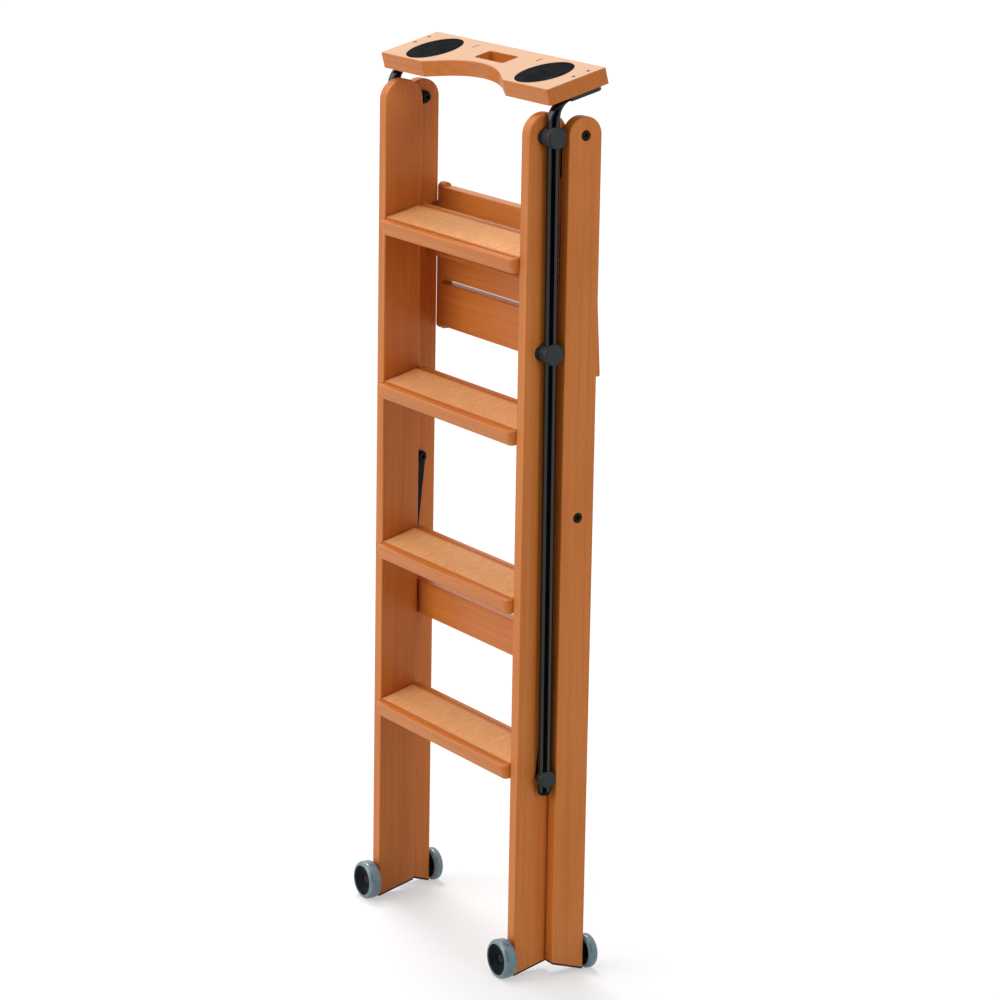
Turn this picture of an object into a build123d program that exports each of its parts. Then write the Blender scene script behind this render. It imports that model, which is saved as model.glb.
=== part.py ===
from build123d import *
import os
from math import atan2, cos, degrees, hypot, radians, sin, tan

os.makedirs("parts", exist_ok=True)

# Folding wooden step ladder, standing folded on its four wheels.
# X runs along the treads, Y runs rearward and Z runs up from the floor.
# Depths are measured from the front face of the stiles and shifted once, when a piece is saved.

# Driving dimensions in millimetres and degrees
depth_centre = 49.34
running_gap = 0.05
overshoot = 1.0
floor_lift = 1.8

# Front frame
stile_inner = 180.0
stile_thickness = 20.0
stile_depth = 61.0
stile_round_height = 1199.0
stile_lean = 15.0
wood_edge_round = 2.2
foot_thickness = 3.0
foot_inset = 0.8

# Treads
tread_count = 4
tread_pitch = 240.0
first_tread_height = 319.0
tread_mid_depth = 25.0
tread_reach = 38.3
tread_rear_reach = 40.4
tread_thickness = 22.0
tread_corner_round = 10.0
tread_edge_round = 3.0
groove_width = 4.0
groove_depth = 1.5
groove_inset = 7.0
rear_groove_width = 2.0
rear_groove_inset = 6.0
grip_half_length = 177.0
grip_front = -24.3
grip_rear = 28.3
grip_recess = 1.0
grip_proud = 0.3
dowel_radius = 5.0
dowel_reach = 14.5
dowel_depths = (-14.0, 16.0)

# Rear frame
leg_inner = 203.0
leg_thickness = 20.0
leg_front = 50.0
leg_rear = 102.0
leg_lean = 17.0
pivot_depth = 76.0
pivot_height = 1199.0
bolt_radius = 4.0
bolt_head_radius = 6.5
bolt_head_length = 5.0
bolt_recess_radius = 7.5
bolt_recess_depth = 6.5
bolt_seat_gap = 0.5
bolt_socket_width = 6.0
nut_radius = 6.0
nut_length = 5.0
nut_socket_depth = 3.0
washer_radius = 8.8
washer_length = 1.5
rail_bottom = 433.5
rail_top = 485.5
rail_front = 66.5
rail_rear = 86.5
tenon_reach = 12.0
tenon_shoulder = 4.0
tenon_margin = 8.0
tie_depth = 89.0
tie_height = 973.0
tie_radius = 4.0

# Thin steel plates in the gap between stile and leg
plate_thickness = 2.5
plate_front = 50.0
plate_rear = 60.5
hinge_plate_bottom = 1141.0
hinge_plate_top = 1208.5
hinge_lug_radius = 9.5
carrier_bottom = 1007.0
carrier_top = 1073.0
carrier_lug_radius = 7.5
carrier_root_depth = 58.0
carrier_lean = 18.0
screw_head_radius = 3.5
screw_head_length = 2.0
screw_radius = 2.0
screw_reach = 16.0

# Folding platform, hung from the carriers behind the top tread
platform_pivot_depth = 106.0
platform_pivot_height = 1040.5
platform_swing = 105.0
platform_pin_radius = 3.0
platform_pin_inner = 188.5
cheek_inner = 187.5
cheek_outer = 199.5
cheek_front = -6.5
cheek_head_radius = 8.0
cheek_top = 34.4
cheek_waist_rear = 8.6
cheek_waist_height = -43.5
cheek_end_rear = 16.8
cheek_bottom = -181.5
cheek_front_round = 7.0
cheek_rear_round = 2.0
slat_count = 3
slat_thickness = 20.0
slat_width = 64.0
slat_gap = 6.5
slat_top = 28.3
slat_edge_round = 2.0
slat_dowel_spread = 20.0
slat_dowel_radius = 3.0
slat_dowel_reach = 20.0
slat_dowel_depth = 9.0
slat_dowel_offset = 7.0
catch_depth = 3.75
catch_height = -68.0
catch_radius = 3.0
catch_inner = 193.5
catch_tip = 202.7
catch_socket_radius = 3.6
catch_socket_depth = 4.0
fold_angle = 32.0

# Sliding handrail
tube_side = 211.3
tube_depth = 31.0
tube_radius = 8.9
tube_bore_radius = 7.5
tube_lean = 0.4
tube_bottom = 275.5
tube_bend_radius = 30.0
tab_width = 24.0
tab_thickness = 5.0
tab_side = 208.5
tab_rear = 28.0
bend_steps = 8
guide_face = 222.5
guide_radius = 15.0
guide_flange_reach = 18.0
guide_flange_rise = 11.0
guide_flange_length = 2.5
guide_bore_gap = 0.4
guide_edge_round = 2.0
guide_spigot_radius = 7.0
guide_spigot_reach = 10.0
guide_heights = (1198.0, 901.0)
knob_height = 294.5
knob_radius = 12.0
knob_shank_radius = 4.0
knob_spacer_radius = 8.0
knob_inner = 203.0
knob_edge_round = 1.5
plug_insert = 10.0
plug_dome = 6.0
plug_round = 5.5

# Tray on top of the handrail
tray_depth = 60.4
tray_height = 1276.9
tray_tilt = 15.0
tray_half_length = 220.4
tray_half_depth = 49.0
tray_thickness = 23.0
tray_corner_round = 3.0
tray_edge_round = 1.5
bay_outer = 108.3
bay_inner = 74.0
bay_corner = -32.0
bay_apex = -16.0
pad_side = 144.0
pad_offset = -2.5
pad_radius = 42.0
pad_thickness = 2.8
pad_recess = 3.0
hole_half_width = 38.0
hole_front = -3.0
hole_rear = 25.0
hole_corner_round = 4.0
slot_side = 83.0
slot_offset = 29.0
slot_length = 12.0
slot_width = 3.0
slot_depth = 6.0
tray_screw_offsets = (3.5, 27.5)
tray_screw_side = 208.0
tray_screw_head_radius = 2.6
tray_gap = 0.1

# Stays between rear legs and handrail
stay_height = 668.0
stay_inner = 200.4
stay_outer = 202.2
stay_width = 17.0

# Wheels, smaller at the rear legs
wheel_radius = 28.5
wheel_width = 20.0
wheel_gap = 4.0
hub_radius = 22.5
hub_web = 8.0
rear_wheel_radius = 25.0
rear_wheel_width = 15.0
rear_wheel_gap = 2.5
rear_hub_radius = 19.5
rear_hub_web = 5.0
tyre_round = 5.8
hub_boss_radius = 9.0
hub_rim_wall = 2.0
hub_mouth_radius = 9.5
hub_pocket_radius = 8.0
hub_pocket_floor = 1.0
axle_radius = 4.0
axle_head_radius = 6.5
axle_head_length = 3.5
axle_head_gap = 0.5
axle_reach = 40.0
axle_collar_radius = 7.0
axle_collar_gap = 0.4

# Derived values
stile_outer = stile_inner + stile_thickness
leg_outer = leg_inner + leg_thickness
plate_outer = stile_outer + plate_thickness
leg_half_depth = (leg_rear - leg_front) / 2
foot_rise = foot_thickness / cos(radians(stile_lean))
leg_foot_rise = foot_thickness / cos(radians(leg_lean))


def block(x_from, x_to, y_from, y_to, z_from, z_to):
    middle = Pos((x_from + x_to) / 2, (y_from + y_to) / 2, (z_from + z_to) / 2)
    return middle * Box(x_to - x_from, y_to - y_from, z_to - z_from)


def rod_x(radius, x_from, x_to, y, z):
    return Pos((x_from + x_to) / 2, y, z) * Rot(0, 90, 0) * Cylinder(radius, x_to - x_from)


def rod_y(radius, y_from, y_to, x, z):
    return Pos(x, (y_from + y_to) / 2, z) * Rot(90, 0, 0) * Cylinder(radius, y_to - y_from)


def rod_z(radius, z_from, z_to, x, y):
    return Pos(x, y, (z_from + z_to) / 2) * Cylinder(radius, z_to - z_from)


def tube_line(height):
    return tube_depth + (guide_heights[0] - height) * tan(radians(tube_lean))


def tube_rod(radius, z_from, z_to):
    middle = (z_from + z_to) / 2
    length = (z_to - z_from) / cos(radians(tube_lean))
    return Pos(tube_side, tube_line(middle), middle) * Rot(tube_lean, 0, 0) * Cylinder(radius, length)


def side_plate(sketch, x_from, x_to):
    return extrude(Plane.YZ.offset(x_from) * sketch, amount=x_to - x_from)


def rectangle(y_from, y_to, z_from, z_to):
    return Pos((y_from + y_to) / 2, (z_from + z_to) / 2) * Rectangle(y_to - y_from, z_to - z_from)


def long_edges(board):
    return [edge for face in board.faces().filter_by(Axis.X) for edge in face.edges().sort_by(Axis.Z)[1:]]


def wood_screw(head_x, reach, y, z, gap=0.0):
    head = Cone(screw_radius + gap, screw_head_radius + gap, screw_head_length)
    head = Pos(head_x - screw_head_length / 2, y, z) * Rot(0, 90, 0) * head
    return head + rod_x(screw_radius + gap, head_x - reach - gap, head_x - screw_head_length, y, z)


def turned(y, z, angle):
    turn = radians(angle)
    return y * cos(turn) - z * sin(turn), y * sin(turn) + z * cos(turn)


def on_left(shape):
    return mirror(shape, about=Plane.YZ)


def save(name, *shapes):
    solids = [Pos(0, -depth_centre, 0) * solid for shape in shapes for solid in shape.solids()]
    group = solids[0] if len(solids) == 1 else Compound(solids)
    export_step(group, f"parts/{name}.step")


def save_pair(name, right):
    save(f"{name}_right", right)
    save(f"{name}_left", on_left(right))


def save_both(name, *right):
    save(name, *right, *[on_left(shape) for shape in right])


# Frames of the tilted pieces
tread_frames = [
    Pos(0, tread_mid_depth, first_tread_height + step * tread_pitch) * Rot(stile_lean, 0, 0)
    for step in range(tread_count)
]
platform_frame = Pos(0, platform_pivot_depth, platform_pivot_height)
tray_frame = Pos(0, tray_depth, tray_height) * Rot(tray_tilt, 0, 0)


# Fasteners that pass through more than one piece
def tread_dowels(gap):
    return [
        frame * rod_x(dowel_radius + gap, stile_inner - dowel_reach - gap, stile_inner + dowel_reach + gap,
                      depth, -tread_thickness / 2)
        for frame in tread_frames
        for depth in dowel_depths
    ]


def plate_screws(gap):
    middle = (plate_front + plate_rear) / 2
    heights = (
        hinge_plate_bottom + screw_head_radius * 2,
        hinge_plate_top - screw_head_radius * 2,
        carrier_bottom + screw_head_radius * 2,
        carrier_top - screw_head_radius * 2,
    )
    return [wood_screw(plate_outer, screw_reach, middle, height, gap) for height in heights]


def platform_dowels(gap):
    middle = cheek_front + slat_dowel_offset
    dowels = []
    for row in range(slat_count):
        height = slat_top - slat_width / 2 - row * (slat_width + slat_gap)
        for offset in (-slat_dowel_spread, slat_dowel_spread):
            dowel = rod_x(slat_dowel_radius + gap, cheek_inner - slat_dowel_reach - gap,
                          cheek_inner + slat_dowel_depth + gap, middle, height + offset)
            dowels.append(platform_frame * dowel)
    return dowels


def tray_screws(gap):
    head = Cone(screw_radius + gap, tray_screw_head_radius + gap, screw_head_length)
    head = Pos(0, 0, -screw_head_length / 2) * head
    tip = -tray_thickness - tab_thickness - tray_gap - gap
    shank = rod_z(screw_radius + gap, tip, -screw_head_length, 0, 0)
    return [tray_frame * Pos(tray_screw_side, offset, 0) * (head + shank) for offset in tray_screw_offsets]


# Stiles
def stile_foot_line(depth):
    return floor_lift + depth * tan(radians(stile_lean))


stile_profile = Polygon(
    (0, stile_foot_line(0) + foot_rise),
    (stile_depth, stile_foot_line(stile_depth) + foot_rise),
    (stile_depth, stile_round_height),
    (0, stile_round_height),
)
stile_profile += Pos(stile_depth / 2, stile_round_height) * Circle(stile_depth / 2)
stile = side_plate(stile_profile, stile_inner, stile_outer)
stile = fillet(long_edges(stile), wood_edge_round)
stile_middle = (stile_inner + stile_outer) / 2
for dowel in tread_dowels(running_gap):
    stile -= dowel
for screw in plate_screws(running_gap):
    stile -= screw
for height in guide_heights:
    stile -= rod_x(guide_spigot_radius + running_gap, stile_outer - guide_spigot_reach - running_gap,
                   stile_outer + overshoot, tube_line(height), height)
stile -= rod_y(axle_radius + running_gap, -overshoot, axle_reach + running_gap, stile_middle, wheel_radius)
save_pair("stile", stile)

stile_foot = Polygon(
    (foot_inset, stile_foot_line(foot_inset)),
    (stile_depth - foot_inset, stile_foot_line(stile_depth - foot_inset)),
    (stile_depth - foot_inset, stile_foot_line(stile_depth - foot_inset) + foot_rise),
    (foot_inset, stile_foot_line(foot_inset) + foot_rise),
)
save_pair("foot_pad_front", side_plate(stile_foot, stile_inner + foot_inset, stile_outer - foot_inset))

# Treads with their grip panels
tread = block(-stile_inner, stile_inner, -tread_reach, tread_rear_reach, -tread_thickness, 0)
tread = fillet(tread.edges().filter_by(Axis.Z).group_by(Axis.Y)[0], tread_corner_round)
front_line = tread.faces().sort_by(Axis.Z)[-1].edges().group_by(Axis.Y)[0]
front_line += tread.faces().sort_by(Axis.Z)[0].edges().group_by(Axis.Y)[0]
tread = fillet(front_line, tread_edge_round)
groove_front = -tread_reach + groove_inset
tread -= block(-grip_half_length, grip_half_length, groove_front, groove_front + groove_width,
               -groove_depth, overshoot)
groove_rear = tread_rear_reach - rear_groove_inset
tread -= block(-grip_half_length, grip_half_length, groove_rear - rear_groove_width, groove_rear,
               -groove_depth, overshoot)
tread -= block(-grip_half_length, grip_half_length, grip_front, grip_rear, -grip_recess, overshoot)
grip = block(-grip_half_length, grip_half_length, grip_front, grip_rear, -grip_recess, grip_proud)
for step, frame in enumerate(tread_frames):
    placed = frame * tread
    for dowel in tread_dowels(running_gap)[2 * step:2 * step + 2]:
        placed -= dowel
        placed -= on_left(dowel)
    save(f"tread_{step + 1}", placed)
    save(f"tread_grip_{step + 1}", frame * grip)
save_both("tread_dowels", *tread_dowels(0))

# Hinge plates, platform carriers and their screws
hinge_plate_sketch = rectangle(plate_front, plate_rear, hinge_plate_bottom, hinge_plate_top)
hinge_plate_sketch += rectangle(plate_front, pivot_depth, pivot_height - hinge_lug_radius, hinge_plate_top)
hinge_plate_sketch += Pos(pivot_depth, pivot_height) * Circle(hinge_lug_radius)
hinge_plate = side_plate(hinge_plate_sketch, stile_outer, plate_outer)
hinge_plate -= rod_x(bolt_radius + running_gap, stile_outer - overshoot, plate_outer + overshoot,
                     pivot_depth, pivot_height)
carrier_sketch = rectangle(plate_front, plate_rear, carrier_bottom, carrier_top)
carrier_run = platform_pivot_depth - carrier_root_depth
carrier_rise = carrier_run * tan(radians(carrier_lean))
carrier_arm = SlotCenterToCenter(hypot(carrier_run, carrier_rise), 2 * carrier_lug_radius)
carrier_arm = Rot(0, 0, carrier_lean) * carrier_arm
carrier_middle = Pos(platform_pivot_depth - carrier_run / 2, platform_pivot_height - carrier_rise / 2)
carrier_sketch += carrier_middle * carrier_arm
carrier = side_plate(carrier_sketch, stile_outer, plate_outer)
carrier += rod_x(platform_pin_radius, platform_pin_inner, plate_outer, platform_pivot_depth,
                 platform_pivot_height)
for screw in plate_screws(running_gap):
    hinge_plate -= screw
    carrier -= screw
save_pair("hinge_plate", hinge_plate)
save_pair("platform_carrier", carrier)
save_both("plate_screws", *plate_screws(0))


# Bolts: a socket head sunk in the outer face of the leg, a shank, and a washer with a round nut inside
def leg_bolt(height):
    head_inner = leg_outer - bolt_recess_depth + bolt_seat_gap
    head = rod_x(bolt_head_radius, head_inner, head_inner + bolt_head_length, pivot_depth, height)
    socket = extrude(RegularPolygon(bolt_socket_width / 2, 6), amount=bolt_head_length)
    socket_start = head_inner + bolt_head_length / 2
    head -= Pos(socket_start, pivot_depth, height) * Rot(0, 90, 0) * socket
    washer_end = stile_outer - washer_length
    nut_end = washer_end - nut_length
    nut = rod_x(nut_radius, nut_end, washer_end, pivot_depth, height)
    nut += rod_x(washer_radius, washer_end, stile_outer, pivot_depth, height)
    nut += rod_x(bolt_radius, washer_end, head_inner, pivot_depth, height)
    nut_socket = extrude(RegularPolygon(bolt_socket_width / 2, 6), amount=nut_socket_depth)
    nut -= Pos(nut_end, pivot_depth, height) * Rot(0, 90, 0) * nut_socket
    return head + nut


save_both("pivot_bolts", leg_bolt(pivot_height))
save_both("stay_bolts", leg_bolt(stay_height))


# Rear legs
def leg_foot_line(depth):
    return floor_lift + (leg_rear - depth) * tan(radians(leg_lean))


leg_profile = Polygon(
    (leg_front, leg_foot_line(leg_front) + leg_foot_rise),
    (leg_rear, leg_foot_line(leg_rear) + leg_foot_rise),
    (leg_rear, pivot_height),
    (leg_front, pivot_height),
)
leg_profile += Pos(pivot_depth, pivot_height) * Circle(leg_half_depth)
leg = side_plate(leg_profile, leg_inner, leg_outer)
leg = fillet(long_edges(leg), wood_edge_round)
leg_middle = (leg_inner + leg_outer) / 2
for height in (pivot_height, stay_height):
    leg -= rod_x(bolt_radius + running_gap, leg_inner - overshoot, leg_outer + overshoot, pivot_depth, height)
    leg -= rod_x(bolt_recess_radius, leg_outer - bolt_recess_depth, leg_outer + overshoot,
                 pivot_depth, height)
leg -= block(leg_inner - overshoot, leg_inner + tenon_reach + running_gap,
             rail_front + tenon_shoulder - running_gap, rail_rear - tenon_shoulder + running_gap,
             rail_bottom + tenon_margin - running_gap, rail_top - tenon_margin + running_gap)
leg -= rod_x(tie_radius + running_gap, leg_inner - overshoot, leg_inner + tenon_reach + running_gap,
             tie_depth, tie_height)
leg -= rod_y(axle_radius + running_gap, leg_rear - axle_reach - running_gap, leg_rear + overshoot,
             leg_middle, rear_wheel_radius)
catch_y, catch_z = turned(catch_depth, catch_height, platform_swing)
catch_y, catch_z = turned(catch_y + platform_pivot_depth - pivot_depth,
                          catch_z + platform_pivot_height - pivot_height, -fold_angle)
leg -= rod_x(catch_socket_radius, leg_inner - overshoot, leg_inner + catch_socket_depth,
             pivot_depth + catch_y, pivot_height + catch_z)
save_pair("rear_leg", leg)

leg_foot = Polygon(
    (leg_front + foot_inset, leg_foot_line(leg_front + foot_inset)),
    (leg_rear - foot_inset, leg_foot_line(leg_rear - foot_inset)),
    (leg_rear - foot_inset, leg_foot_line(leg_rear - foot_inset) + leg_foot_rise),
    (leg_front + foot_inset, leg_foot_line(leg_front + foot_inset) + leg_foot_rise),
)
save_pair("foot_pad_rear", side_plate(leg_foot, leg_inner + foot_inset, leg_outer - foot_inset))

# Cross rail with a tenon at each end, and the steel tie rod above it
cross_rail = block(-leg_inner, leg_inner, rail_front, rail_rear, rail_bottom, rail_top)
cross_rail = fillet(cross_rail.edges().filter_by(Axis.X), wood_edge_round)
cross_rail += block(-leg_inner - tenon_reach, leg_inner + tenon_reach,
                    rail_front + tenon_shoulder, rail_rear - tenon_shoulder,
                    rail_bottom + tenon_margin, rail_top - tenon_margin)
save("cross_rail", cross_rail)
save("tie_rod", rod_x(tie_radius, -leg_inner - tenon_reach, leg_inner + tenon_reach, tie_depth, tie_height))

# Folding platform
for row in range(slat_count):
    top = slat_top - row * (slat_width + slat_gap)
    slat = block(-cheek_inner, cheek_inner, cheek_front, cheek_front + slat_thickness, top - slat_width, top)
    slat = platform_frame * fillet(slat.edges().filter_by(Axis.X), slat_edge_round)
    for dowel in platform_dowels(running_gap)[2 * row:2 * row + 2]:
        slat -= dowel
        slat -= on_left(dowel)
    save(f"platform_slat_{row + 1}", slat)

# Each cheek has a round head and grows deeper towards its free lower end
head_height = cheek_top - cheek_head_radius
head_middle = cheek_front + cheek_head_radius
cheek_sketch = Polygon(
    (cheek_front, head_height),
    (cheek_front, cheek_bottom),
    (cheek_end_rear, cheek_bottom),
    (cheek_waist_rear, cheek_waist_height),
    (head_middle + cheek_head_radius, head_height),
)
lower_corners = cheek_sketch.vertices().group_by(Axis.Y)[0].sort_by(Axis.X)
cheek_sketch = fillet(lower_corners[0], cheek_front_round)
lower_corners = cheek_sketch.vertices().group_by(Axis.Y)[0].sort_by(Axis.X)
cheek_sketch = fillet(lower_corners[-1], cheek_rear_round)
cheek_sketch += Pos(head_middle, head_height) * Circle(cheek_head_radius)
cheek = side_plate(cheek_sketch, cheek_inner, cheek_outer)
cheek -= rod_x(platform_pin_radius + running_gap, cheek_inner - overshoot, cheek_outer + overshoot, 0, 0)
cheek -= rod_x(catch_radius + running_gap, catch_inner - running_gap, cheek_outer + overshoot,
               catch_depth, catch_height)
cheek = platform_frame * cheek
for dowel in platform_dowels(running_gap):
    cheek -= dowel
save_pair("platform_cheek", cheek)
save_both("platform_dowels", *platform_dowels(0))
catch = rod_x(catch_radius, catch_inner, catch_tip, catch_depth, catch_height)
catch = fillet(catch.edges().sort_by(Axis.X)[-1], catch_radius / 2)
save_both("platform_catches", platform_frame * catch)

# Guides that carry the handrail beside the stiles
for height, name in zip(guide_heights, ("guide_upper", "guide_lower")):
    depth = tube_line(height)
    guide = rod_x(guide_radius, stile_outer, guide_face, depth, height)
    guide = fillet(guide.edges().sort_by(Axis.X)[-1], guide_edge_round)
    flange = Pos(depth, height) * SlotOverall(2 * guide_flange_reach, 2 * guide_flange_rise)
    guide += side_plate(flange, stile_outer, stile_outer + guide_flange_length)
    guide += rod_x(guide_spigot_radius, stile_outer - guide_spigot_reach, stile_outer, depth, height)
    guide -= tube_rod(tube_radius + guide_bore_gap, height - guide_flange_reach,
                      height + guide_flange_reach)
    save_pair(name, guide)

# Handrail tube: straight, then bent rearward and pressed flat under the tray
turn_angle = 90.0 - tray_tilt + tube_lean
tab_drop = tray_thickness + tray_gap + tab_thickness / 2
tilt = radians(tray_tilt)
slope = tan(radians(tube_lean))
tab_depth = tray_depth + tab_drop * sin(tilt)
tab_height = tray_height - tab_drop * cos(tilt)
corner_offset = (tube_line(tab_height) - tab_depth) / (cos(tilt) + sin(tilt) * slope)
corner_height = tab_height + corner_offset * sin(tilt)
tangent_length = tube_bend_radius * tan(radians(turn_angle / 2))
bend_start = corner_height - tangent_length * cos(radians(tube_lean))
tab_front = corner_offset + tangent_length

sections = []
for step in range(bend_steps + 1):
    share = step / bend_steps
    ease = share * share * (3 - 2 * share)
    angle = radians(turn_angle * share - tube_lean)
    width = 2 * tube_radius + (tab_width - 2 * tube_radius) * ease
    height = 2 * tube_radius + (tab_thickness - 2 * tube_radius) * ease
    centre = (
        tube_side + (tab_side - tube_side) * ease,
        tube_line(bend_start) + tube_bend_radius * (cos(radians(tube_lean)) - cos(angle)),
        bend_start + tube_bend_radius * (sin(angle) + sin(radians(tube_lean))),
    )
    ahead = (0, sin(angle), cos(angle))
    plane = Plane(origin=centre, x_dir=(1, 0, 0), z_dir=ahead)
    sections.append(plane * Ellipse(width / 2, height / 2))
bend = loft(sections)
tab_middle = -tab_drop
tab = block(tab_side - tab_width / 2, tab_side + tab_width / 2, tab_front, tab_rear,
            tab_middle - tab_thickness / 2, tab_middle + tab_thickness / 2)
tab += rod_z(tab_width / 2, tab_middle - tab_thickness / 2, tab_middle + tab_thickness / 2,
             tab_side, tab_rear)
knob_depth = tube_line(knob_height)
tube = tube_rod(tube_radius, tube_bottom, bend_start) + bend + tray_frame * tab
tube -= tube_rod(tube_bore_radius, tube_bottom - overshoot, bend_start)
tube -= rod_x(knob_shank_radius + running_gap, knob_inner, tube_side + knob_radius, knob_depth, knob_height)
for screw in tray_screws(running_gap):
    tube -= screw
save_pair("handrail_tube", tube)

# End plugs and the round knobs that pin the stays
plug = tube_rod(tube_bore_radius - running_gap, tube_bottom, tube_bottom + plug_insert)
dome = tube_rod(tube_radius, tube_bottom - plug_dome, tube_bottom)
dome = fillet(dome.edges().sort_by(Axis.Z)[0], plug_round)
save_pair("tube_plug", plug + dome)
knob = rod_x(knob_radius, tube_side, guide_face, knob_depth, knob_height)
knob = fillet(knob.edges().sort_by(Axis.X)[-1], knob_edge_round)
knob += rod_x(knob_spacer_radius, knob_inner, tube_side, knob_depth, knob_height)
knob -= tube_rod(tube_radius + running_gap, knob_height - knob_radius - overshoot,
                 knob_height + knob_radius + overshoot)
knob += rod_x(knob_shank_radius, knob_inner, guide_face - knob_edge_round, knob_depth, knob_height)
save_pair("knob", knob)

# Tray with a bayed front edge
bay_left = Line((-bay_outer, -tray_half_depth), (-bay_inner, bay_corner))
bay_arc = ThreePointArc((-bay_inner, bay_corner), (0, bay_apex), (bay_inner, bay_corner))
bay_right = Line((bay_inner, bay_corner), (bay_outer, -tray_half_depth))
outer_line = Polyline(
    (bay_outer, -tray_half_depth),
    (tray_half_length, -tray_half_depth),
    (tray_half_length, tray_half_depth),
    (-tray_half_length, tray_half_depth),
    (-tray_half_length, -tray_half_depth),
    (-bay_outer, -tray_half_depth),
)
tray_sketch = make_face([bay_left, bay_arc, bay_right, outer_line])
tray = extrude(tray_sketch, amount=-tray_thickness)
ends = tray.edges().filter_by(Axis.Z).group_by(Axis.X)
tray = fillet(ends[0] + ends[-1], tray_corner_round)
tray = fillet(tray.faces().sort_by(Axis.Z)[-1].edges(), tray_edge_round)
hole = Pos(0, (hole_front + hole_rear) / 2) * RectangleRounded(
    2 * hole_half_width, hole_rear - hole_front, hole_corner_round)
tray -= extrude(hole, amount=-tray_thickness)
for side in (-1, 1):
    tray -= rod_z(pad_radius, -pad_recess, overshoot, side * pad_side, pad_offset)
    slot = Pos(side * slot_side, slot_offset) * Rot(0, 0, 90) * SlotOverall(slot_length, slot_width)
    tray -= extrude(slot, amount=-slot_depth)
tray = tray_frame * tray
for screw in tray_screws(running_gap):
    tray -= screw
    tray -= on_left(screw)
save("tray", tray)
pad = rod_z(pad_radius - running_gap, -pad_recess, pad_thickness - pad_recess, pad_side, pad_offset)
save_pair("tray_pad", tray_frame * pad)
save_both("tray_screws", *tray_screws(0))

# Stays
stay_drop = stay_height - knob_height
stay_run = pivot_depth - knob_depth
stay_length = hypot(stay_drop, stay_run)
stay_sketch = SlotCenterToCenter(stay_length, stay_width)
stay_sketch = Rot(0, 0, degrees(atan2(stay_drop, stay_run))) * stay_sketch
stay_sketch = Pos((pivot_depth + knob_depth) / 2, (stay_height + knob_height) / 2) * stay_sketch
stay_sketch -= Pos(pivot_depth, stay_height) * Circle(bolt_radius + running_gap)
stay_sketch -= Pos(knob_depth, knob_height) * Circle(knob_shank_radius + running_gap)
save_pair("stay", side_plate(stay_sketch, stay_inner, stay_outer))


# Wheels: a soft tyre around a dished hub that turns on a shouldered axle
def wheel_pieces(radius, width, gap, rim_radius, web):
    half_width = width / 2
    tyre = rod_y(radius, -half_width, half_width, 0, 0)
    tyre = fillet(tyre.edges(), tyre_round)
    tyre -= rod_y(rim_radius, -half_width - overshoot, half_width + overshoot, 0, 0)
    head_rear = hub_pocket_floor - axle_head_gap
    head_front = head_rear - axle_head_length
    dish_depth = half_width - hub_rim_wall - web / 2
    hub = rod_y(rim_radius - running_gap, -half_width + hub_rim_wall, half_width - hub_rim_wall, 0, 0)
    dish = Cone(hub_mouth_radius, rim_radius - hub_rim_wall, dish_depth)
    hub -= Pos(0, -(web + dish_depth) / 2, 0) * Rot(90, 0, 0) * dish
    hub -= rod_y(hub_pocket_radius, -half_width, hub_pocket_floor, 0, 0)
    hub -= rod_y(rim_radius - hub_rim_wall, web / 2, half_width, 0, 0)
    hub += rod_y(hub_boss_radius, web / 2, half_width, 0, 0)
    hub -= rod_y(axle_radius + running_gap, -half_width, half_width + overshoot, 0, 0)
    axle = rod_y(axle_radius, head_front, half_width + gap + axle_reach, 0, 0)
    axle += rod_y(axle_head_radius, head_front, head_rear, 0, 0)
    axle += rod_y(axle_collar_radius, half_width + axle_collar_gap, half_width + gap, 0, 0)
    return tyre, hub, axle


tyre, hub, axle = wheel_pieces(wheel_radius, wheel_width, wheel_gap, hub_radius, hub_web)
front_wheel = Pos(stile_middle, -wheel_gap - wheel_width / 2, wheel_radius)
save_pair("tyre_front", front_wheel * tyre)
save_pair("hub_front", front_wheel * hub)
save_both("front_axles", front_wheel * axle)
tyre, hub, axle = wheel_pieces(rear_wheel_radius, rear_wheel_width, rear_wheel_gap, rear_hub_radius,
                               rear_hub_web)
rear_wheel = Pos(leg_middle, leg_rear + rear_wheel_gap + rear_wheel_width / 2, rear_wheel_radius)
rear_wheel = rear_wheel * Rot(0, 0, 180)
save_pair("tyre_rear", rear_wheel * tyre)
save_pair("hub_rear", rear_wheel * hub)
save_both("rear_axles", rear_wheel * axle)
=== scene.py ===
import bpy
from math import cos, pi, radians, sin
from mathutils import Matrix, Vector


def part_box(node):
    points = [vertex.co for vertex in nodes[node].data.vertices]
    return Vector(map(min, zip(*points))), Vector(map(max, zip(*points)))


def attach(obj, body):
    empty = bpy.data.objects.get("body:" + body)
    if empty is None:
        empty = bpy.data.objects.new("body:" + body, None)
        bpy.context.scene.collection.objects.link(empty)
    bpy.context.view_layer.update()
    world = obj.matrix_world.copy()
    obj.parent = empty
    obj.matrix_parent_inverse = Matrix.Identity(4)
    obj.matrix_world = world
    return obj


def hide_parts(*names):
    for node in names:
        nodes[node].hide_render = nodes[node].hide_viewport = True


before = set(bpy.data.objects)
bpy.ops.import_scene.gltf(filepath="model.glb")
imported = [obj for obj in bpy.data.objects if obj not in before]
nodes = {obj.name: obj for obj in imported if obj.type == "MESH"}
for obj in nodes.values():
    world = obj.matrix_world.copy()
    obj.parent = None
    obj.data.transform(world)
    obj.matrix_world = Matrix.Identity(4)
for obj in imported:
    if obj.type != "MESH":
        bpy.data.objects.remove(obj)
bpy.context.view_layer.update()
mm = 0.001


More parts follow.
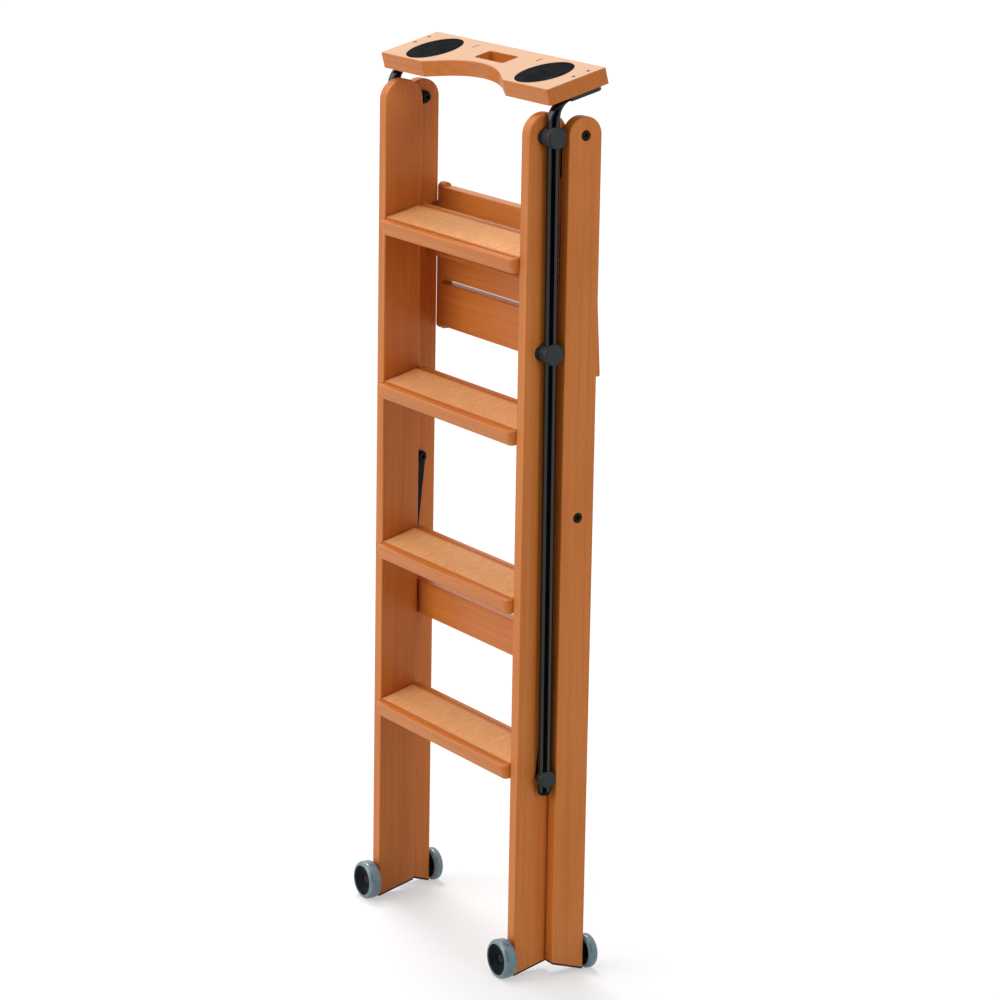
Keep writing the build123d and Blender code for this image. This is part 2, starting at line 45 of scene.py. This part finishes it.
def hexColour(code):
    channels = [int(code[i:i + 2], 16) / 255 for i in (1, 3, 5)]
    linear = [c / 12.92 if c <= 0.04045 else ((c + 0.055) / 1.055) ** 2.4 for c in channels]
    return (*linear, 1.0)


def addNode(tree, kind, inputs=None, **settings):
    node = tree.nodes.new(kind)
    for name, value in settings.items():
        setattr(node, name, value)
    for key, value in (inputs or {}).items():
        if isinstance(value, bpy.types.NodeSocket):
            tree.links.new(value, node.inputs[key])
        else:
            node.inputs[key].default_value = value
    return node


def addObject(name, data):
    thing = bpy.data.objects.new(name, data)
    bpy.context.scene.collection.objects.link(thing)
    return thing


def newMaterial(name):
    material = bpy.data.materials.new(name)
    material.use_nodes = True
    tree = material.node_tree
    tree.nodes.clear()
    return material, tree


def setRamp(ramp, places, colours):
    elements = ramp.color_ramp.elements
    while len(elements) < len(places):
        elements.new(1.0)
    for element, place, colour in zip(elements, places, colours):
        element.position = place
        element.color = hexColour(colour)


# Camera, fitted to tread edges, tray corners and wheels in the photo
cameraView = {
    "place": (4.41727, -2.742391, 1.93372),
    "yaw": 57.794,
    "pitch": 13.883,
    "roll": 0.982,
    "lens": 135.157,
    "sensor": 36.0,
    "farthest": 200.0,
}


def makeCamera():
    data = bpy.data.cameras.new("photoCamera")
    data.sensor_width = cameraView["sensor"]
    data.lens = cameraView["lens"]
    data.clip_end = cameraView["farthest"]
    camera = addObject("photoCamera", data)
    turn = Matrix.Rotation(radians(cameraView["yaw"]), 4, "Z")
    turn = turn @ Matrix.Rotation(radians(90 - cameraView["pitch"]), 4, "X")
    turn = turn @ Matrix.Rotation(radians(cameraView["roll"]), 4, "Z")
    camera.matrix_world = Matrix.Translation(cameraView["place"]) @ turn
    bpy.context.scene.camera = camera


# Studio: dim even surround, a wide soft sun overhead, suns from left, front and right, white floor
studio = {
    "white": "#FFFFFF",
    "surround": 0.26,
    "suns": {                        # strength, angle, aim from the ladder towards the light
        "topSun": (1.2, 90.0, (-0.35, -0.37, 0.86)),
        "leftSun": (1.4, 24.0, (-0.42, 0.1, 0.9)),
        "frontSun": (0.95, 40.0, (-0.3, -0.89, 0.36)),
        "sideSun": (0.7, 14.0, (0.94, 0.05, 0.34)),
    },
    "floorSize": 80.0,
    "floorColour": "#C4C4C4",
    "floorGlow": 0.44,               # lifts the lit floor to white and leaves its shadow
}


def seenRays(tree):
    # 1 for what the camera, gloss and clear things see, 0 for what lights the ladder
    rays = addNode(tree, "ShaderNodeLightPath")
    mirrored = addNode(tree, "ShaderNodeMath", {0: rays.outputs["Is Glossy Ray"],
                                                1: rays.outputs["Is Transmission Ray"]},
                       operation="MAXIMUM")
    seen = addNode(tree, "ShaderNodeMath", {0: rays.outputs["Is Camera Ray"], 1: mirrored.outputs[0]},
                   operation="MAXIMUM")
    return seen.outputs[0]


def makeSurround():
    world = bpy.data.worlds.new("studioSurround")
    bpy.context.scene.world = world
    world.use_nodes = True
    tree = world.node_tree
    tree.nodes.clear()
    white = hexColour(studio["white"])
    soft = addNode(tree, "ShaderNodeBackground", {"Color": white, "Strength": studio["surround"]})
    shown = addNode(tree, "ShaderNodeBackground", {"Color": white, "Strength": 1.0})
    mix = addNode(tree, "ShaderNodeMixShader", {0: seenRays(tree), 1: soft.outputs[0], 2: shown.outputs[0]})
    addNode(tree, "ShaderNodeOutputWorld", {"Surface": mix.outputs[0]})


def makeSuns():
    for name, (strength, angle, aim) in studio["suns"].items():
        sun = bpy.data.lights.new(name, "SUN")
        sun.energy = strength
        sun.angle = radians(angle)
        lamp = addObject(name, sun)
        lamp.rotation_mode = "QUATERNION"
        lamp.rotation_quaternion = Vector(aim).to_track_quat("Z", "Y")


def makeFloor():
    material, tree = newMaterial("whitePaperFloor")
    glow = addNode(tree, "ShaderNodeMath", {0: seenRays(tree), 1: studio["floorGlow"]}, operation="MULTIPLY")
    paper = addNode(tree, "ShaderNodeBsdfDiffuse", {"Color": hexColour(studio["floorColour"])})
    lift = addNode(tree, "ShaderNodeEmission", {"Color": hexColour(studio["white"]),
                                                "Strength": glow.outputs[0]})
    both = addNode(tree, "ShaderNodeAddShader", {0: paper.outputs[0], 1: lift.outputs[0]})
    addNode(tree, "ShaderNodeOutputMaterial", {"Surface": both.outputs[0]})
    half = studio["floorSize"] / 2
    corners = [(-half, -half, 0), (half, -half, 0), (half, half, 0), (-half, half, 0)]
    mesh = bpy.data.meshes.new("studioFloor")
    mesh.from_pydata(corners, [], [(0, 1, 2, 3)])
    mesh.materials.append(material)
    floor = addObject("studioFloor", mesh)


# Black card on the camera's side, flat on the floor and upright at its far edge. Only gloss
# sees it, so that black enamel has something dark to mirror
blackCard = {
    "colour": "#050505",
    "middle": 0.2,              # X of the point its edges are measured from
    "lift": 2 * mm,
    "near": 0.35,
    "far": 3.0,
    "top": 4.0,
    "turns": (-29.0, 48.0),     # of its two sides, from the camera's heading
}


def makeCard():
    material, tree = newMaterial("blackVelvetCard")
    velvet = addNode(tree, "ShaderNodeBsdfDiffuse", {"Color": hexColour(blackCard["colour"])})
    addNode(tree, "ShaderNodeOutputMaterial", {"Surface": velvet.outputs[0]})
    corners = []
    for reach, order in ((blackCard["near"], 1), (blackCard["far"], -1)):
        for angle in blackCard["turns"][::order]:
            heading = radians(cameraView["yaw"] - 90 + angle)
            corners.append((blackCard["middle"] + reach * cos(heading), reach * sin(heading),
                            blackCard["lift"]))
    corners += [(x, y, blackCard["top"]) for x, y, _ in corners[2:]]
    mesh = bpy.data.meshes.new("blackCard")
    mesh.from_pydata(corners, [], [(0, 1, 2, 3), (3, 2, 4, 5)])
    mesh.materials.append(material)
    card = addObject("blackCard", mesh)
    card.visible_camera = False
    card.visible_diffuse = False
    card.visible_shadow = False


bpy.context.scene.view_settings.view_transform = "Standard"
makeCamera()
makeSurround()
makeSuns()
makeFloor()
makeCard()
print("camera and studio made")

# Beech boards, stained honey orange and spray varnished: soft long growth bands,
# short dark ray flecks, darker end grain, a satin film that brightens at a low angle
beech = {
    "stain": ("#C9702B", "#D17931", "#D8833B"),
    "stainStops": (0.36, 0.5, 0.64),
    "fleck": "#A85918",
    "paintedSheen": "#DCC3A4",              # painted sheen: the tray's top faces painted paler, standing in for the varnish reflecting the light above
    "bandWidth": 6 * mm,
    "fibreWidth": 1.6 * mm,
    "fleckWidth": 1.1 * mm,         # real rays are half as wide, drawn coarser to show
    "patchScale": 7.0,              # patches of about 140 mm
    "bandStretch": 0.02,            # along the grain
    "fleckStretch": 0.11,
    "shares": (0.55, 0.25, 0.2),    # of bands, fibres and patches in the stain
    # where a mask begins and is full, and how much of its colour it then lays on
    "fleckMask": (0.6, 0.74, 0.28),
    "endMask": (0.6, 0.98, 0.2),
    # painted sheen: faces that point up are painted paler
    "paintedSheenMask": (0.8, 0.95, 0.55),
    "fibreRange": (0.3, 0.7),
    "roughness": (0.34, 0.5),
    "bump": 0.25,
    "relief": 0.15 * mm,
    "specular": 0.3,
    "coat": 0.08,
    "coatRoughness": 0.2,
    "ior": 1.5,
}


def makeBeech(name, grain, paintedSheen=False):
    along = "XYZ".index(grain)
    material, tree = newMaterial(name)
    place = addNode(tree, "ShaderNodeTexCoord")
    longScale = [1.0, 1.0, 1.0]
    longScale[along] = beech["bandStretch"]
    fleckScale = [1.0, 1.0, 1.0]
    fleckScale[along] = beech["fleckStretch"]
    longMap = addNode(tree, "ShaderNodeMapping", {"Vector": place.outputs["Object"], "Scale": longScale})
    fleckMap = addNode(tree, "ShaderNodeMapping", {"Vector": place.outputs["Object"], "Scale": fleckScale})
    bands = addNode(tree, "ShaderNodeTexNoise", {"Vector": longMap.outputs[0],
                                                 "Scale": 1 / beech["bandWidth"],
                                                 "Detail": 3.0, "Roughness": 0.55, "Distortion": 0.4})
    fibres = addNode(tree, "ShaderNodeTexNoise", {"Vector": longMap.outputs[0],
                                                  "Scale": 1 / beech["fibreWidth"],
                                                  "Detail": 2.0, "Roughness": 0.6})
    flecks = addNode(tree, "ShaderNodeTexNoise", {"Vector": fleckMap.outputs[0],
                                                  "Scale": 1 / beech["fleckWidth"], "Detail": 1.0})
    patches = addNode(tree, "ShaderNodeTexNoise", {"Vector": place.outputs["Object"],
                                                   "Scale": beech["patchScale"], "Detail": 1.0})
    tone = 0.0
    for noise, share in zip((bands, fibres, patches), beech["shares"]):
        tone = addNode(tree, "ShaderNodeMath", {0: noise.outputs["Fac"], 1: share, 2: tone},
                       operation="MULTIPLY_ADD").outputs[0]
    ramp = addNode(tree, "ShaderNodeValToRGB", {"Fac": tone})
    setRamp(ramp, beech["stainStops"], beech["stain"])
    facing = addNode(tree, "ShaderNodeSeparateXYZ", {0: place.outputs["Normal"]})
    endOn = addNode(tree, "ShaderNodeMath", {0: facing.outputs[along]}, operation="ABSOLUTE")
    layers = [(flecks.outputs["Fac"], "fleckMask", "fleck"), (endOn.outputs[0], "endMask", "fleck")]
    # painted sheen on the tray: faces that point up are mixed towards a paler colour standing in for reflected
    # light
    if paintedSheen:
        layers.append((facing.outputs["Z"], "paintedSheenMask", "paintedSheen"))
    colour = ramp.outputs[0]
    for source, mask, tint in layers:
        begin, full, most = beech[mask]
        amount = addNode(tree, "ShaderNodeMapRange", {"Value": source, "From Min": begin, "From Max": full,
                                                      "To Min": 0.0, "To Max": most})
        colour = addNode(tree, "ShaderNodeMix", {0: amount.outputs[0], 6: colour, 7: hexColour(beech[tint])},
                         data_type="RGBA").outputs[2]
    thin, thick = beech["fibreRange"]
    smooth, rough = beech["roughness"]
    sheen = addNode(tree, "ShaderNodeMapRange", {"Value": fibres.outputs["Fac"],
                                                 "From Min": thin, "From Max": thick,
                                                 "To Min": smooth, "To Max": rough})
    bump = addNode(tree, "ShaderNodeBump", {"Height": fibres.outputs["Fac"], "Strength": beech["bump"],
                                            "Distance": beech["relief"]})
    wood = addNode(tree, "ShaderNodeBsdfPrincipled", {"Base Color": colour,
                                                      "Roughness": sheen.outputs[0],
                                                      "IOR": beech["ior"],
                                                      "Specular IOR Level": beech["specular"],
                                                      "Coat Weight": beech["coat"],
                                                      "Coat Roughness": beech["coatRoughness"],
                                                      "Coat IOR": beech["ior"],
                                                      "Normal": bump.outputs[0]})
    addNode(tree, "ShaderNodeOutputMaterial", {"Surface": wood.outputs[0]})
    return material


# Anti-slip panel: a paler stain under a thick matt lacquer with a fine stipple; its colours are also lifted as
# painted light and sheen on the treads' tops
gripLook = {
    # partly the panel's paler stain, partly painted light: lifted and desaturated to stand in for light and
    # sheen on the tops
    "stainAndPaintedSheen": ("#E49C5C", "#FCBB7D"),
    "toneRange": (0.7, 1.3),
    "speckle": 2.4 * mm,
    "streak": 3.2 * mm,             # brush marks across the tread, drawn coarser than they are
    "streakScale": (1.0, 0.12, 0.12),
    "bump": 0.4,
    "relief": 0.2 * mm,
    "roughness": 0.58,
    "ior": 1.5,
}


def makeGripLacquer():
    material, tree = newMaterial("stippledGripLacquer")
    place = addNode(tree, "ShaderNodeTexCoord")
    speckle = addNode(tree, "ShaderNodeTexNoise", {"Vector": place.outputs["Object"],
                                                   "Scale": 1 / gripLook["speckle"], "Detail": 2.0})
    brushMap = addNode(tree, "ShaderNodeMapping", {"Vector": place.outputs["Object"],
                                                   "Scale": gripLook["streakScale"]})
    brushed = addNode(tree, "ShaderNodeTexNoise", {"Vector": brushMap.outputs[0],
                                                   "Scale": 1 / gripLook["streak"], "Detail": 2.0})
    both = addNode(tree, "ShaderNodeMath", {0: speckle.outputs["Fac"], 1: brushed.outputs["Fac"]},
                   operation="ADD")
    dark, light = gripLook["toneRange"]
    tone = addNode(tree, "ShaderNodeMapRange", {"Value": both.outputs[0], "From Min": dark, "From Max": light})
    ramp = addNode(tree, "ShaderNodeValToRGB", {"Fac": tone.outputs[0]})
    setRamp(ramp, (0.0, 1.0), gripLook["stainAndPaintedSheen"])
    bump = addNode(tree, "ShaderNodeBump", {"Height": speckle.outputs["Fac"], "Strength": gripLook["bump"],
                                            "Distance": gripLook["relief"]})
    skin = addNode(tree, "ShaderNodeBsdfPrincipled", {"Base Color": ramp.outputs[0],
                                                      "Roughness": gripLook["roughness"],
                                                      "IOR": gripLook["ior"], "Normal": bump.outputs[0]})
    addNode(tree, "ShaderNodeOutputMaterial", {"Surface": skin.outputs[0]})
    return material


# Pieces of one colour with a surface texture: base and second colour, size of the
# mottling and of the bump, roughness range, and metal or its own gloss where it has them
finishes = {
    # black gloss enamel baked on steel tube: deep black, faint orange peel
    "blackEnamelTube": {"base": "#040405", "second": "#09090B", "mottle": 40 * mm, "grain": 3 * mm,
                        "relief": 0.01 * mm, "roughness": (0.1, 0.17), "specular": 0.4},
    # black painted flat steel: dull satin, slightly dusty
    "blackPaintedSteel": {"base": "#0C0C0D", "second": "#171718", "mottle": 9 * mm, "grain": 0.9 * mm,
                          "relief": 0.02 * mm, "roughness": (0.34, 0.48), "specular": 0.12},
    # bright turned steel: fine turning marks
    "brightSteel": {"base": "#B9BABB", "second": "#D2D2D0", "mottle": 6 * mm, "grain": 0.8 * mm,
                    "relief": 0.01 * mm, "roughness": (0.24, 0.38), "metal": 1.0},
    # moulded slate grey nylon: satin with a fine spark texture
    "slateNylon": {"base": "#23292B", "second": "#2C3335", "mottle": 12 * mm, "grain": 0.9 * mm,
                   "relief": 0.03 * mm, "roughness": (0.36, 0.48), "specular": 0.3},
    # moulded black nylon: nearly without gloss, so the dished hub looks deep
    "blackNylon": {"base": "#101419", "second": "#191E23", "mottle": 10 * mm, "grain": 0.9 * mm,
                   "relief": 0.03 * mm, "roughness": (0.4, 0.55), "specular": 0.03},
    # black rubber mat: matt with a fine pebble
    "padRubber": {"base": "#1F2123", "second": "#292A2C", "mottle": 16 * mm, "grain": 1.4 * mm,
                  "relief": 0.08 * mm, "roughness": (0.7, 0.85), "specular": 0.0},
    # foot rubber: dull black, greyed by the floor
    "footRubber": {"base": "#171615", "second": "#262320", "mottle": 6 * mm, "grain": 1.0 * mm,
                   "relief": 0.06 * mm, "roughness": (0.7, 0.85)},
    # moulded blue grey vinyl tyre: smooth and glossy, with small highlights
    "blueGreyTyre": {"base": "#5E7B86", "second": "#6D8993", "mottle": 8 * mm, "grain": 1.2 * mm,
                     "relief": 0.01 * mm, "roughness": (0.12, 0.2), "specular": 0.8},
    # plain beech dowel, unvarnished
    "dowelBeech": {"base": "#C9A878", "second": "#B98F5C", "mottle": 3 * mm, "grain": 0.8 * mm,
                   "relief": 0.05 * mm, "roughness": (0.6, 0.75)},
}
everyFinish = {"toneStops": (0.38, 0.66), "mottleRange": (0.3, 0.7), "bump": 0.5, "specular": 0.5}


def makeFinish(name):
    look = finishes[name]
    material, tree = newMaterial(name)
    place = addNode(tree, "ShaderNodeTexCoord")
    mottle = addNode(tree, "ShaderNodeTexNoise", {"Vector": place.outputs["Object"],
                                                  "Scale": 1 / look["mottle"], "Detail": 3.0})
    grain = addNode(tree, "ShaderNodeTexNoise", {"Vector": place.outputs["Object"],
                                                 "Scale": 1 / look["grain"], "Detail": 2.0})
    ramp = addNode(tree, "ShaderNodeValToRGB", {"Fac": mottle.outputs["Fac"]})
    setRamp(ramp, everyFinish["toneStops"], (look["base"], look["second"]))
    thin, thick = everyFinish["mottleRange"]
    smooth, rough = look["roughness"]
    sheen = addNode(tree, "ShaderNodeMapRange", {"Value": mottle.outputs["Fac"],
                                                 "From Min": thin, "From Max": thick,
                                                 "To Min": smooth, "To Max": rough})
    bump = addNode(tree, "ShaderNodeBump", {"Height": grain.outputs["Fac"], "Strength": everyFinish["bump"],
                                            "Distance": look["relief"]})
    gloss = look.get("specular", everyFinish["specular"])
    skin = addNode(tree, "ShaderNodeBsdfPrincipled", {"Base Color": ramp.outputs[0],
                                                      "Roughness": sheen.outputs[0],
                                                      "Metallic": look.get("metal", 0.0),
                                                      "Specular IOR Level": gloss,
                                                      "Normal": bump.outputs[0]})
    addNode(tree, "ShaderNodeOutputMaterial", {"Surface": skin.outputs[0]})
    return material


uprightBeech = makeBeech("varnishedBeechUpright", "Z")
levelBeech = makeBeech("varnishedBeechLevel", "X")
# the tray's top faces get a painted sheen, a paler colour standing in for reflected light
trayBeech = makeBeech("varnishedBeechTray", "X", paintedSheen=True)
gripLacquer = makeGripLacquer()
madeFinish = {name: makeFinish(name) for name in finishes}

# Which material each CAD node wears, by the first start here that its name has
wearing = {
    "stile": uprightBeech,
    "rear_leg": uprightBeech,
    "platform_cheek": uprightBeech,
    "tread_grip": gripLacquer,
    "tread_dowels": madeFinish["dowelBeech"],
    "tread": levelBeech,
    "cross_rail": levelBeech,
    "tie_rod": levelBeech,
    "platform_slat": levelBeech,
    "platform_dowels": madeFinish["dowelBeech"],
    "platform_carrier": madeFinish["brightSteel"],
    "platform_catches": madeFinish["brightSteel"],
    "plate_screws": madeFinish["brightSteel"],
    "hinge_plate": madeFinish["blackPaintedSteel"],
    "pivot_bolts": madeFinish["blackPaintedSteel"],
    "stay": madeFinish["blackPaintedSteel"],
    "front_axles": madeFinish["blackPaintedSteel"],
    "rear_axles": madeFinish["blackPaintedSteel"],
    "tray_screws": madeFinish["blackPaintedSteel"],
    "tray_pad": madeFinish["padRubber"],
    "tray": trayBeech,
    "handrail_tube": madeFinish["blackEnamelTube"],
    "tube_plug": madeFinish["blackNylon"],
    "guide": madeFinish["slateNylon"],
    "knob": madeFinish["slateNylon"],
    "foot_pad": madeFinish["footRubber"],
    "tyre": madeFinish["blueGreyTyre"],
    "hub": madeFinish["blackNylon"],
}
for name, piece in nodes.items():
    start = next(key for key in wearing if name.startswith(key))
    piece.data.materials.clear()
    piece.data.materials.append(wearing[start])
print("materials on", len(nodes), "CAD nodes")


def newTree(name, sizes):
    tree = bpy.data.node_groups.new(name, "GeometryNodeTree")
    for size, value in sizes.items():
        kind = {int: "NodeSocketInt", float: "NodeSocketFloat"}.get(type(value), "NodeSocketVector")
        tree.interface.new_socket(size, in_out="INPUT", socket_type=kind)
    tree.interface.new_socket("Result", in_out="OUTPUT", socket_type="NodeSocketGeometry")
    return tree, addNode(tree, "NodeGroupInput").outputs


def closeTree(tree, geometry, material):
    whole = addNode(tree, "GeometryNodeRealizeInstances", {"Geometry": geometry})
    dressed = addNode(tree, "GeometryNodeSetMaterial", {"Geometry": whole.outputs[0], "Material": material})
    addNode(tree, "NodeGroupOutput", {"Result": dressed.outputs[0]})


def settle(name, tree, sizes):
    draft = addObject(name + "Draft", bpy.data.meshes.new(name + "Draft"))
    modifier = draft.modifiers.new("build", "NODES")
    modifier.node_group = tree
    for item in tree.interface.items_tree:
        if item.in_out == "INPUT":
            modifier[item.identifier] = sizes[item.name]
    settled = draft.evaluated_get(bpy.context.evaluated_depsgraph_get())
    piece = addObject(name, bpy.data.meshes.new_from_object(settled))
    bpy.data.objects.remove(draft)
    print(name, len(piece.data.polygons), "faces")
    return piece


def boxMiddle(node):
    low, high = map(Vector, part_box(node))
    return (low + high) / 2


# Stipple of the tread grips: low lacquer dots, a little out of line
treadLean = radians(15)
treadUp = Vector((0, -sin(treadLean), cos(treadLean)))
treadCount = 4
lowGrip = boxMiddle("tread_grip_1")
highGrip = boxMiddle("tread_grip_4")
gripRise = 0.6 * mm             # from a grip's middle to the foot of its dots, just under its top
stipple = {
    "Length": 348 * mm,
    "Depth": 47 * mm,
    "Pitch": 3.6 * mm,
    "Jitter": 0.9 * mm,
    "Sides": 6,
    "Radius": 1.3 * mm,
    "Tip": 0.5 * mm,
    "Height": 0.45 * mm,        # about 0.4 mm stands above the grip
    "Lean": treadLean,
    "Treads": treadCount,
    "First": lowGrip + treadUp * gripRise,
    "Step": (highGrip - lowGrip) / (treadCount - 1),
    "Seed": 7,
}


def makeStipple():
    tree, size = newTree("gripStipple", stipple)
    columns = addNode(tree, "ShaderNodeMath", {0: size["Length"], 1: size["Pitch"]}, operation="DIVIDE")
    rows = addNode(tree, "ShaderNodeMath", {0: size["Depth"], 1: size["Pitch"]}, operation="DIVIDE")
    grid = addNode(tree, "GeometryNodeMeshGrid", {"Size X": size["Length"], "Size Y": size["Depth"],
                                                  "Vertices X": columns.outputs[0],
                                                  "Vertices Y": rows.outputs[0]})
    stray = addNode(tree, "FunctionNodeRandomValue", {0: (-1, -1, 0), 1: (1, 1, 0), "Seed": size["Seed"]},
                    data_type="FLOAT_VECTOR")
    stray = addNode(tree, "ShaderNodeVectorMath", {0: stray.outputs[0], "Scale": size["Jitter"]},
                    operation="SCALE")
    spread = addNode(tree, "GeometryNodeSetPosition", {"Geometry": grid.outputs[0],
                                                       "Offset": stray.outputs[0]})
    dot = addNode(tree, "GeometryNodeMeshCone", {"Vertices": size["Sides"], "Radius Top": size["Tip"],
                                                 "Radius Bottom": size["Radius"], "Depth": size["Height"]})
    field = addNode(tree, "GeometryNodeInstanceOnPoints", {"Points": spread.outputs[0],
                                                           "Instance": dot.outputs[0]})
    tilt = addNode(tree, "ShaderNodeCombineXYZ", {"X": size["Lean"]})
    leaning = addNode(tree, "GeometryNodeTransform", {"Geometry": field.outputs[0],
                                                      "Rotation": tilt.outputs[0]})
    line = addNode(tree, "GeometryNodeMeshLine", {"Count": size["Treads"], "Start Location": size["First"],
                                                  "Offset": size["Step"]})
    treads = addNode(tree, "GeometryNodeInstanceOnPoints", {"Points": line.outputs[0],
                                                            "Instance": leaning.outputs[0]})
    closeTree(tree, treads.outputs[0], gripLacquer)
    return settle("tread_stipple", tree, stipple)


dots = makeStipple()
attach(dots, "front_frame")

# Tray screws: countersunk, with a cross recess
screwRise = 14.05 * mm          # from the middle of the CAD screws to the top of their heads
trayScrew = {
    "Span": 416 * mm,
    "Spacing": 24 * mm,
    "Head": 2.6 * mm,
    "HeadLength": 2 * mm,
    "HeadSides": 24,
    "Shank": 2 * mm,
    "ShankSides": 16,
    "Length": 28.1 * mm,
    "RecessLength": 3.2 * mm,
    "RecessWidth": 0.8 * mm,
    "RecessDepth": 0.9 * mm,
    "Lean": treadLean,
    "Middle": boxMiddle("tray_screws") + treadUp * screwRise,
}


def makeTrayScrews():
    tree, size = newTree("trayScrew", trayScrew)
    head = addNode(tree, "GeometryNodeMeshCone", {"Vertices": size["HeadSides"], "Radius Top": size["Head"],
                                                  "Radius Bottom": size["Shank"],
                                                  "Depth": size["HeadLength"]})
    drop = addNode(tree, "ShaderNodeVectorMath", {0: (0, 0, -1), "Scale": size["HeadLength"]},
                   operation="SCALE")
    head = addNode(tree, "GeometryNodeTransform", {"Geometry": head.outputs[0],
                                                   "Translation": drop.outputs[0]})
    # each bar of the cross is centred on the head's top, so half its depth cuts
    deep = addNode(tree, "ShaderNodeMath", {0: size["RecessDepth"], 1: 2.0}, operation="MULTIPLY")
    bar = addNode(tree, "ShaderNodeCombineXYZ", {"X": size["RecessLength"], "Y": size["RecessWidth"],
                                                 "Z": deep.outputs[0]})
    bar = addNode(tree, "GeometryNodeMeshCube", {"Size": bar.outputs[0]})
    cross = addNode(tree, "GeometryNodeTransform", {"Geometry": bar.outputs[0], "Rotation": (0, 0, pi / 2)})
    sunk = addNode(tree, "GeometryNodeMeshBoolean", {"Mesh 1": head.outputs[0], "Mesh 2": bar.outputs[0]},
                   operation="DIFFERENCE")
    tree.links.new(cross.outputs[0], sunk.inputs["Mesh 2"])
    run = addNode(tree, "ShaderNodeMath", {0: size["Length"], 1: size["HeadLength"]}, operation="SUBTRACT")
    shank = addNode(tree, "GeometryNodeMeshCylinder", {"Vertices": size["ShankSides"],
                                                       "Radius": size["Shank"], "Depth": run.outputs[0]})
    # the shank's middle is half-way between the head's foot and the screw's end
    reach = addNode(tree, "ShaderNodeMath", {0: size["Length"], 1: size["HeadLength"]}, operation="ADD")
    fall = addNode(tree, "ShaderNodeVectorMath", {0: (0, 0, -0.5), "Scale": reach.outputs[0]},
                   operation="SCALE")
    shank = addNode(tree, "GeometryNodeTransform", {"Geometry": shank.outputs[0],
                                                    "Translation": fall.outputs[0]})
    screw = addNode(tree, "GeometryNodeJoinGeometry", {0: sunk.outputs[0]})
    tree.links.new(shank.outputs[0], screw.inputs[0])
    corners = addNode(tree, "GeometryNodeMeshGrid", {"Size X": size["Span"], "Size Y": size["Spacing"],
                                                     "Vertices X": 2, "Vertices Y": 2})
    screws = addNode(tree, "GeometryNodeInstanceOnPoints", {"Points": corners.outputs[0],
                                                            "Instance": screw.outputs[0]})
    tilt = addNode(tree, "ShaderNodeCombineXYZ", {"X": size["Lean"]})
    placed = addNode(tree, "GeometryNodeTransform", {"Geometry": screws.outputs[0],
                                                     "Rotation": tilt.outputs[0],
                                                     "Translation": size["Middle"]})
    closeTree(tree, placed.outputs[0], madeFinish["blackPaintedSteel"])
    return settle("tray_cross_screws", tree, trayScrew)


screws = makeTrayScrews()
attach(screws, "handrail")
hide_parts("tray_screws")
print("stipple and tray screws made")
